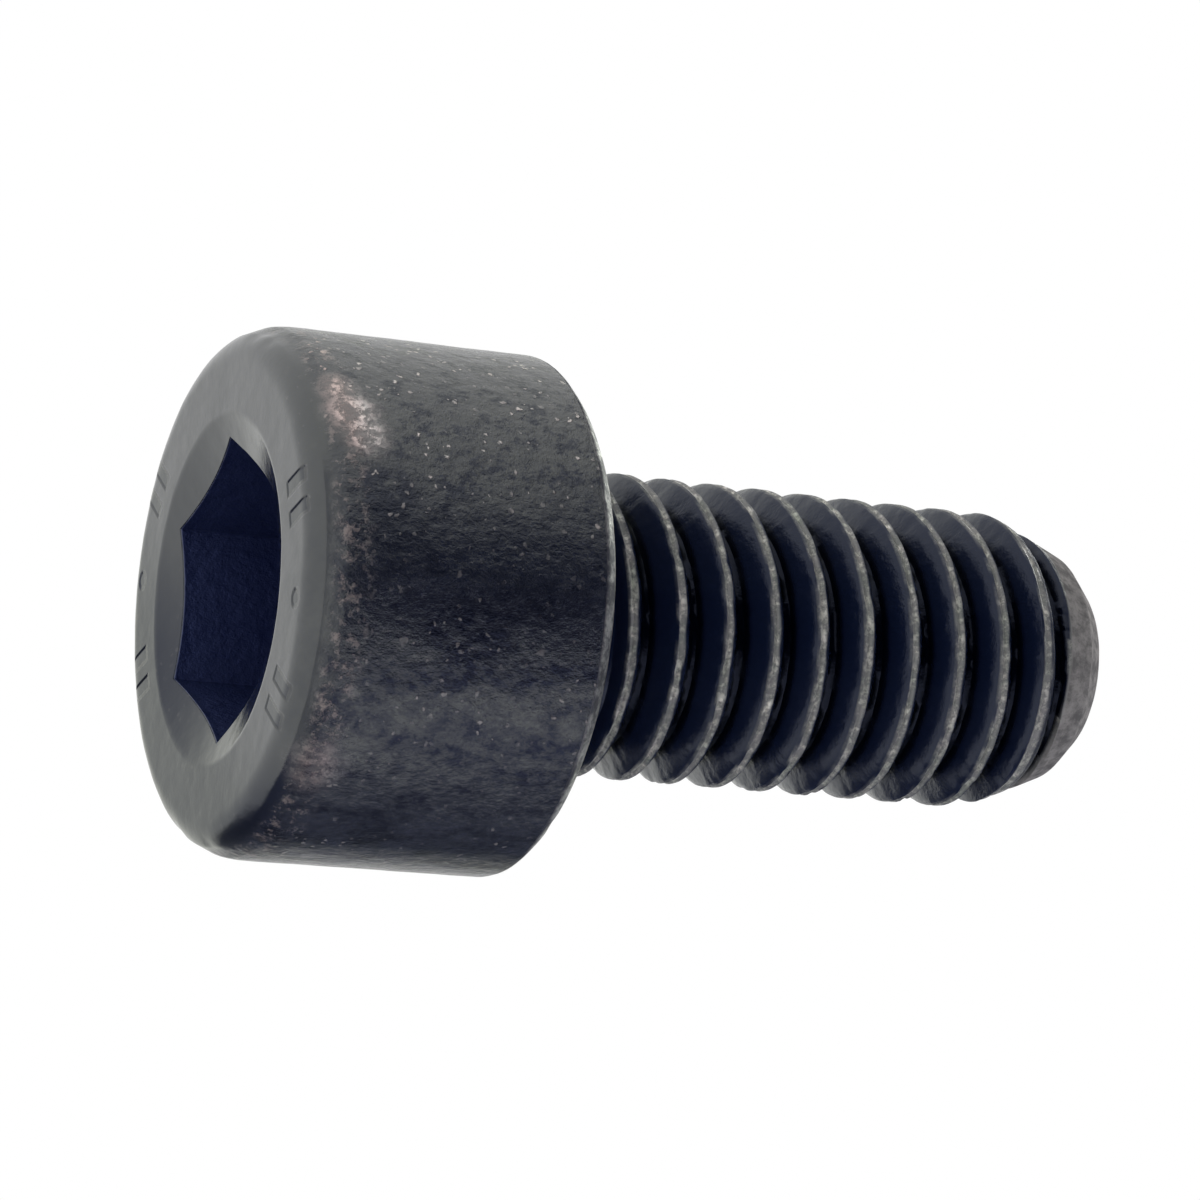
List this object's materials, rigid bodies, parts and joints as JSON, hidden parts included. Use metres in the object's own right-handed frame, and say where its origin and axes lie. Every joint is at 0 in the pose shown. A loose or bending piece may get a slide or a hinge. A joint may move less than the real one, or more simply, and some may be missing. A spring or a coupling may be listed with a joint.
{
  "type": "socket head cap screw",
  "caption": "Socket head cap screw, M6 by 12 mm, black oxide steel, right-hand coarse thread up to the head, plain cylindrical head with a hexagon socket.",
  "frame": {"origin": "On the floor under the screw's axis, at the middle of the face with the socket. The screw stands on its head, because on its side it rolls.", "axes": "+Z runs along the screw's axis from the head to the tip. +X passes through one corner of the hexagon socket. +Y completes the frame."},
  "size_m": [0.01, 0.01, 0.018],
  "materials": {
    "black_oxide_steel": "black oxide over forged and rolled alloy steel, mottled, worn grey on edges and thread crests"
  },
  "bodies": {
    "root": {"cap_screw": "black_oxide_steel"}
  },
  "joints": []
}
